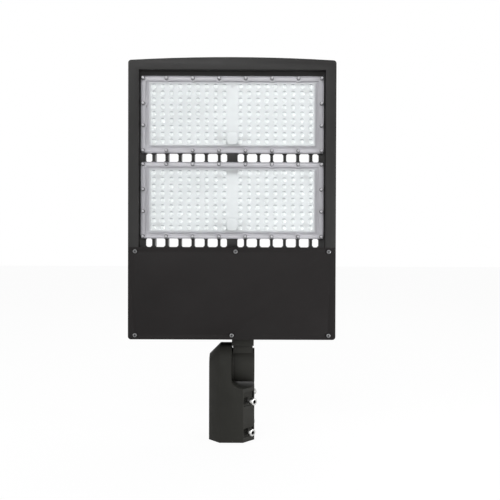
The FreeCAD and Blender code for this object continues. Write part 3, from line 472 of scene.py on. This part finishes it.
bevelled_copy("main_housing", "housing_casting", 0.5 * MM, casting_paint, "head")
bevelled_copy("driver_cover", "cover_sheet", 0.4 * MM, cover_paint, "head")
bevelled_copy("tilt_arm", "tilt_arm_casting", 0.6 * MM, fitter_paint, "head")
bevelled_copy("slip_fitter_body", "fitter_casting", 0.7 * MM, fitter_paint, "slip_fitter")

# %% [markdown]
# ## The lens plates
#
# Each lens is one moulded plate. From the edge inwards it has a thin lip, a flat
# margin that takes the screws, a step that swings round every screw in a small
# arc, and a raised field with its edges sloped. The plate is built as boxes that
# are joined by booleans, since that gives one closed wall.

# %% Size of a lens from its construction node
low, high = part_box("upper_lens")
HALF_X = (high.x - low.x) / 2
HALF_Z = (high.z - low.z) / 2
DOME_TIP = low.y
BACK = high.y
OPTIC_RADIUS, OPTIC_HEIGHT = 4.2, 2.2  # in mm
FLANGE_Y = BACK - 3.5 * MM
FIELD_Y = DOME_TIP + OPTIC_HEIGHT * MM
FIELD_X = HALF_X - 12.3 * MM
FIELD_Z = HALF_Z - 9.3 * MM
STEP_Y = FLANGE_Y - 1.3 * MM
STEP_IN = 7.5 * MM
WALL = 2 * MM
OVERLAP = 1 * MM
HAIR = 0.1 * MM
PITCH_X, PITCH_Z = 14.36 * MM, 11.18 * MM
GROUP_X = 70.45 * MM
print("lens half size", HALF_X, HALF_Z, "field front at", FIELD_Y)

SCREW_IN = 3.7 * MM
screw_x = [21.6 * MM, 64.8 * MM, 108 * MM, HALF_X - SCREW_IN]
screw_z = HALF_Z - SCREW_IN
SIDES = (-1, 1)
screw_spots = [(side * x, end * screw_z) for x in screw_x for side in SIDES for end in SIDES]
screw_spots += [(side * screw_x[-1], end * 18 * MM) for side in SIDES for end in SIDES]


def at_screws(name, y, radius, depth, sides):
    """One drum at every screw of a lens, as one cutting tool."""
    return merge(name, [drum(name, (x, y, z), radius, depth, sides) for x, z in screw_spots])


# %% Flange with a lip round its edge
LIP_EDGE, LIP_WIDTH, LIP_HEIGHT = 0.3 * MM, 1.3 * MM, 0.6 * MM
plate = block("lens_plate", (-HALF_X, FLANGE_Y, -HALF_Z), (HALF_X, BACK, HALF_Z))
choose(plate, "edges", lambda edge: along(plate.data, edge, 1))
bpy.ops.mesh.bevel(offset=4 * MM, segments=5)
leave_edit()
choose(plate, "polygons", lambda face: face.normal.dot(FRONT) > 0.9)
bpy.ops.mesh.inset(thickness=LIP_EDGE)
bpy.ops.mesh.inset(thickness=LIP_WIDTH)
leave_edit()
front_faces = [face for face in plate.data.polygons if face.normal.dot(FRONT) > 0.9]
inner = max(front_faces, key=lambda face: face.area)


def on_lip(face):
    """The ring between the two insets, apart from the outermost strip."""
    if face.normal.dot(FRONT) < 0.9 or face.index == inner.index:
        return False
    places = [plate.data.vertices[v].co for v in face.vertices]
    return max(max(abs(p.x) - HALF_X, abs(p.z) - HALF_Z) for p in places) < -0.2 * MM


lip_count = choose(plate, "polygons", on_lip)
bpy.ops.mesh.extrude_region_move(TRANSFORM_OT_translate={"value": (0, -LIP_HEIGHT, 0)})
leave_edit()
print("lip faces", lip_count)

# %% Step that swings round the screws
step = block(
    "lens_step",
    (-HALF_X + STEP_IN, STEP_Y, -HALF_Z + STEP_IN),
    (HALF_X - STEP_IN, BACK - OVERLAP, HALF_Z - STEP_IN),
)
boolean(step, at_screws("bites", FLANGE_Y, 6.3 * MM, 12 * MM, 28), "DIFFERENCE")
soften(step, 0.35 * MM)
boolean(plate, step, "UNION")

# %% Raised field with sloped edges
field = block(
    "lens_field", (-FIELD_X, FIELD_Y, -FIELD_Z), (FIELD_X, BACK - OVERLAP, FIELD_Z)
)
choose(field, "edges", lambda edge: all_below(field.data, edge, FIELD_Y + HAIR))
bpy.ops.mesh.bevel(offset=2.5 * MM, segments=1)
leave_edit()
soften(field, 0.5 * MM, angle=20)
boolean(plate, field, "UNION")
hollow = block(
    "lens_hollow",
    (-FIELD_X + WALL, FIELD_Y + WALL, -FIELD_Z + WALL),
    (FIELD_X - WALL, BACK + OVERLAP, FIELD_Z - WALL),
)
boolean(plate, hollow, "DIFFERENCE")
smooth(25)
print("plate faces", len(plate.data.polygons))

# %% Screw holes through the flange
boolean(plate, at_screws("lens_holes", BACK, 1.85 * MM, 20 * MM, 20), "DIFFERENCE")

# %% Raised pad over the lead connector
# At the lower end of the middle band a low rounded pad covers the plug of the leads.
PAD_X = 8.5 * MM
pad = block(
    "lead_pad",
    (-PAD_X, FIELD_Y - 1.4 * MM, -FIELD_Z + 4 * MM),
    (PAD_X, FIELD_Y + 0.4 * MM, -FIELD_Z + 24 * MM),
)
choose(pad, "edges", lambda edge: along(pad.data, edge, 1))
bpy.ops.mesh.bevel(offset=5 * MM, segments=5)
leave_edit()
soften(pad, 0.7 * MM, segments=3)

# %% Finishes of the plate


def on_field(face):
    centre = face.center
    inside = abs(centre.x) < FIELD_X + HAIR and abs(centre.z) < FIELD_Z + HAIR
    return inside and centre.y < STEP_Y


finish(plate, lens_flange, lens_clear)
second_finish(plate, on_field)
finish(pad, lens_clear)

# %% [markdown]
# ## The optics
#
# Each light source has its own small dome, which spreads the light. There are two
# groups of nine by nine. A dome is repeated hundreds of times, so it has only a few
# dozen faces: a ball is cut off low with bisect, and its rim closed.

# %% One dome
dome_radius = (OPTIC_RADIUS**2 + OPTIC_HEIGHT**2) / (2 * OPTIC_HEIGHT) * MM
bpy.ops.object.select_all(action="DESELECT")
bpy.ops.mesh.primitive_uv_sphere_add(
    segments=14,
    ring_count=14,
    radius=dome_radius,
    rotation=(math.pi / 2, 0, 0),
    location=(0, DOME_TIP + dome_radius, 0),
)
dome = bpy.context.object
dome.name = "optic"
bpy.ops.object.transform_apply(location=True, rotation=True, scale=True)
bpy.ops.object.mode_set(mode="EDIT")
bpy.ops.mesh.select_all(action="SELECT")
bpy.ops.mesh.bisect(
    plane_co=(0, FIELD_Y + HAIR, 0), plane_no=(0, 1, 0), use_fill=True, clear_outer=True
)
leave_edit()
# The upper flank gets a grey finish, which is painted shade: the real flank turns the light
# down and hides the board.
finish(dome, optic_clear, upper_flank_painted_shade)
second_finish(dome, lambda face: face.normal.z > 0.5)
activate(dome)
smooth(40)
print("faces in one dome", len(dome.data.polygons))

# %% All domes of one lens
optics = []
for group in SIDES:
    for column in range(-4, 5):
        for line in range(-4, 5):
            spot = (group * GROUP_X + column * PITCH_X, 0, line * PITCH_Z)
            optics.append(copy_to(dome, "optic_copy", spot))
drop(dome)
lens_master = merge("lens_master", [plate, pad, *optics])

# %% Place both lenses
for module in ("upper", "lower"):
    low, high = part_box(f"{module}_lens")
    lens = copy_to(lens_master, f"{module}_lens_plate", (0, 0, (low.z + high.z) / 2))
    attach(lens, "head")
    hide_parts(f"{module}_lens")
drop(lens_master)

# %% [markdown]
# ## Screws
#
# The small screws have a domed pan head with a cross recess. One head is made for
# each size: a drum whose front is rounded by a bevel, with the cross cut out of it,
# and a shank behind. It is then copied to every place.

# %% One pan-head screw with a cross recess


def cross_screw(name, seat, head_radius, head_height, shank_radius, shank_length, metal):
    """A screw about the y axis with its seat at a given y, at x = z = 0."""
    head = drum(name, (0, seat - head_height / 2, 0), head_radius, head_height, 24)
    choose(head, "edges", lambda edge: all_below(head.data, edge, seat - head_height * 0.9))
    bpy.ops.mesh.bevel(offset=head_height * 0.55, segments=4)
    leave_edit()
    wide, thin = head_radius * 0.55, head_radius * 0.16
    floor_y = seat - head_height + head_height * 0.6
    for across, tall in ((wide, thin), (thin, wide)):
        slot = block(
            "recess", (-across, seat - head_height * 1.2, -tall), (across, floor_y, tall)
        )
        boolean(head, slot, "DIFFERENCE")
    middle = seat + shank_length / 2 - HAIR
    shank = drum(name + "_shank", (0, middle, 0), shank_radius, shank_length, 16)
    screw = merge(name, [head, shank])

    def in_recess(face):
        centre = face.center
        inside = max(abs(centre.x), abs(centre.z)) < wide + 0.01 * MM
        return inside and seat - head_height * 0.95 < centre.y < floor_y + 0.01 * MM

    # The faces inside the cross recess get painted shade.
    finish(screw, metal, recess_shade)
    second_finish(screw, in_recess)
    activate(screw)
    smooth(35)
    return screw


def place_screws(master, name, node, spots, body):
    """Copies of one screw at (x, z) places, as one piece that stands for a node."""
    copies = [copy_to(master, "screw_copy", (x, 0, z)) for x, z in spots]
    drop(master)
    piece = merge(name, copies)
    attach(piece, body)
    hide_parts(node)
    print(name, len(spots), "screws")


# %% Cover screws
cover_low, cover_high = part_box("driver_cover")
left, right = cover_low.x + 11.5 * MM, cover_high.x - 11.5 * MM
bottom, top = cover_low.z + 7 * MM, cover_high.z - 7 * MM
cover_spots = [(left, bottom), (0, bottom), (right, bottom)]
cover_spots += [(left, top), (6 * MM, top), (right, top)]
cover_screw = cross_screw(
    "cover_screw", cover_low.y, 3.5 * MM, 2.2 * MM, 2.2 * MM, 10 * MM, dark_screw
)
place_screws(cover_screw, "cover_cross_screws", "driver_cover_screws", cover_spots, "head")

# %% Lens screws
for module in ("upper", "lower"):
    low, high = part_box(f"{module}_lens")
    middle = (low.z + high.z) / 2
    lens_screw = cross_screw(
        "lens_screw", FLANGE_Y, 3.2 * MM, 2.2 * MM, 1.8 * MM, 9 * MM, dark_screw
    )
    spots = [(x, middle + z) for x, z in screw_spots]
    place_screws(
        lens_screw, f"{module}_lens_cross_screws", f"{module}_lens_screws", spots, "head"
    )

# %% [markdown]
# ## Set screws
#
# Four socket-head screws press on the pole's end. Each travels on its own, so each
# is a piece of its own and rides on its own body. The head is round with a softened
# rim, and has a six-sided socket.

# %% One set screw for each corner
HEAD_LENGTH = 8 * MM
SOCKET_RADIUS = 3.3 * MM
SHANK_RADIUS, SHANK_LENGTH = 3.95 * MM, 10.6 * MM


def set_screw(node):
    low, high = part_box(node)
    side = -1 if node.startswith("front") else 1
    middle_z = (low.z + high.z) / 2
    outward = Vector((1, side, 0)).normalized()
    radius = (high.z - low.z) / 2
    # The box holds a tilted cylinder, so its far corner gives the outer end.
    end = (high.x + (high.y if side > 0 else -low.y)) / 2 * math.sqrt(2) - radius
    head = drum(node + "_head", (0, 0, 0), radius, HEAD_LENGTH, 48, "z")

    def on_rim(edge):
        """An edge of a rim has both its ends on one side of the middle."""
        return abs(sum(head.data.vertices[v].co.z for v in edge.vertices)) > HEAD_LENGTH * 0.98

    choose(head, "edges", on_rim)
    bpy.ops.mesh.bevel(offset=0.7 * MM, segments=3)
    leave_edit()
    socket = drum("socket", (0, 0, HEAD_LENGTH / 2), SOCKET_RADIUS, HEAD_LENGTH, 6, "z")
    boolean(head, socket, "DIFFERENCE")
    shank_z = -HEAD_LENGTH / 2 - 5.2 * MM
    shank = drum("shank", (0, 0, shank_z), SHANK_RADIUS, SHANK_LENGTH, 24, "z")
    screw = merge(node.replace("set_screw", "socket_screw"), [head, shank])

    def in_socket(face):
        centre = face.center
        sunk = -HAIR < centre.z < HEAD_LENGTH * 0.49
        return sunk and math.hypot(centre.x, centre.y) < SOCKET_RADIUS + HAIR

    # The faces inside the socket get painted shade.
    finish(screw, stainless, recess_shade)
    second_finish(screw, in_socket)
    activate(screw)
    screw.rotation_euler = outward.to_track_quat("Z", "Y").to_euler()
    screw.location = outward * (end - HEAD_LENGTH / 2) + Vector((0, 0, middle_z))
    bpy.ops.object.transform_apply(location=True, rotation=True, scale=True)
    smooth(35)
    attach(screw, node)
    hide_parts(node)
    print(screw.name, [round(v, 4) for v in screw.bound_box[0]])


for corner in ("front_low", "front_high", "back_low", "back_high"):
    set_screw(corner + "_set_screw")

# %% [markdown]
# ## Floor, light and camera
#
# The photograph is a cut-out on white. The floor and the backdrop are pale for the
# light that they throw, and plain white to the camera, to mirrors and through the
# lens. The floor keeps a soft shadow, because it is mixed with its own shading.

# %% Which rays see the plain white
scene = bpy.context.scene


def seen_rays(tree):
    """1 for rays from the camera, through the lens or off a mirror, otherwise 0."""
    rays = tree.nodes.new("ShaderNodeLightPath")
    seen = rays.outputs["Is Camera Ray"]
    for kind in ("Is Transmission Ray", "Is Glossy Ray"):
        either = tree.nodes.new("ShaderNodeMath")
        either.operation = "MAXIMUM"
        tree.links.new(seen, either.inputs[0])
        tree.links.new(rays.outputs[kind], either.inputs[1])
        seen = either.outputs[0]
    return seen


# %% Floor


def white_stage(name, keep_shadow):
    made = Maker(name)
    made.tint(made.noise(3.0, 2.0), (0.80, 0.80, 0.80), (0.82, 0.82, 0.82))
    made.set(Roughness=0.9)
    glow = made.add("ShaderNodeEmission")
    glow.inputs["Color"].default_value = (1, 1, 1, 1)
    glow.inputs["Strength"].default_value = 1.03
    share = made.add("ShaderNodeMath")
    share.operation = "MULTIPLY"
    share.inputs[1].default_value = 1.0 - keep_shadow
    made.link(seen_rays(made.tree), share.inputs[0])
    mix = made.add("ShaderNodeMixShader")
    made.link(share.outputs[0], mix.inputs["Fac"])
    made.link(made.shader.outputs["BSDF"], mix.inputs[1])
    made.link(glow.outputs["Emission"], mix.inputs[2])
    made.link(mix.outputs["Shader"], made.tree.nodes["Material Output"].inputs["Surface"])
    return made.material


bpy.ops.object.select_all(action="DESELECT")
bpy.ops.mesh.primitive_plane_add(size=16, location=(0, 0, 0))
floor = bpy.context.object
floor.name = "studio_floor"
finish(floor, white_stage("floor_white", 0.10))

# %% Backdrop
world = bpy.data.worlds.new("studio_world")
world.use_nodes = True
scene.world = world
sky = world.node_tree
background = sky.nodes["Background"]
background.inputs["Color"].default_value = (1, 1, 1, 1)
background.inputs["Strength"].default_value = 0.44
white = sky.nodes.new("ShaderNodeBackground")
white.inputs["Color"].default_value = (1, 1, 1, 1)
white.inputs["Strength"].default_value = 1.0
mix = sky.nodes.new("ShaderNodeMixShader")
sky.links.new(seen_rays(sky), mix.inputs["Fac"])
sky.links.new(background.outputs["Background"], mix.inputs[1])
sky.links.new(white.outputs["Background"], mix.inputs[2])
sky.links.new(mix.outputs["Shader"], sky.nodes["World Output"].inputs["Surface"])

# %% Lamps


def lamp(name, place, target, size, power):
    data = bpy.data.lights.new(name, "AREA")
    data.shape = "RECTANGLE"
    data.size, data.size_y = size
    data.energy = power
    made = bpy.data.objects.new(name, data)
    scene.collection.objects.link(made)
    made.location = place
    made.rotation_euler = (Vector(target) - Vector(place)).to_track_quat("-Z", "Y").to_euler()


lamp("top_softbox", (-0.30, -1.30, 1.20), (0, 0, 0.55), (1.2, 0.5), 9)
lamp("left_softbox", (-1.5, -0.9, 0.7), (0, 0, 0.35), (0.8, 1.2), 7.5)
lamp("right_fill", (0.9, -0.40, 0.06), (0, 0, 0.05), (0.3, 0.3), 10)
lamp("low_bounce", (0.0, -1.1, 0.05), (0, 0, 0.10), (1.2, 0.25), 2)
lamp("back_fill", (0.5, 0.9, 1.9), (0, 0, 0.35), (1.4, 1.4), 8)

# %% Camera
# The photograph's frame is 500 px square. Its focal length and the camera's place
# come from fitting the light's corners, module edges and socket.
FOCAL_PX, FRAME_PX, SENSOR = 618, 500, 36
camera_data = bpy.data.cameras.new("photo_camera")
camera_data.sensor_width = SENSOR
camera_data.lens = FOCAL_PX / FRAME_PX * SENSOR
camera = bpy.data.objects.new("photo_camera", camera_data)
scene.collection.objects.link(camera)
camera.location = (0.02948, -1.03911, 0.32313)
camera.rotation_euler = (math.pi / 2 - 0.0094, -0.0031, 0)
scene.camera = camera
scene.view_settings.view_transform = "Standard"
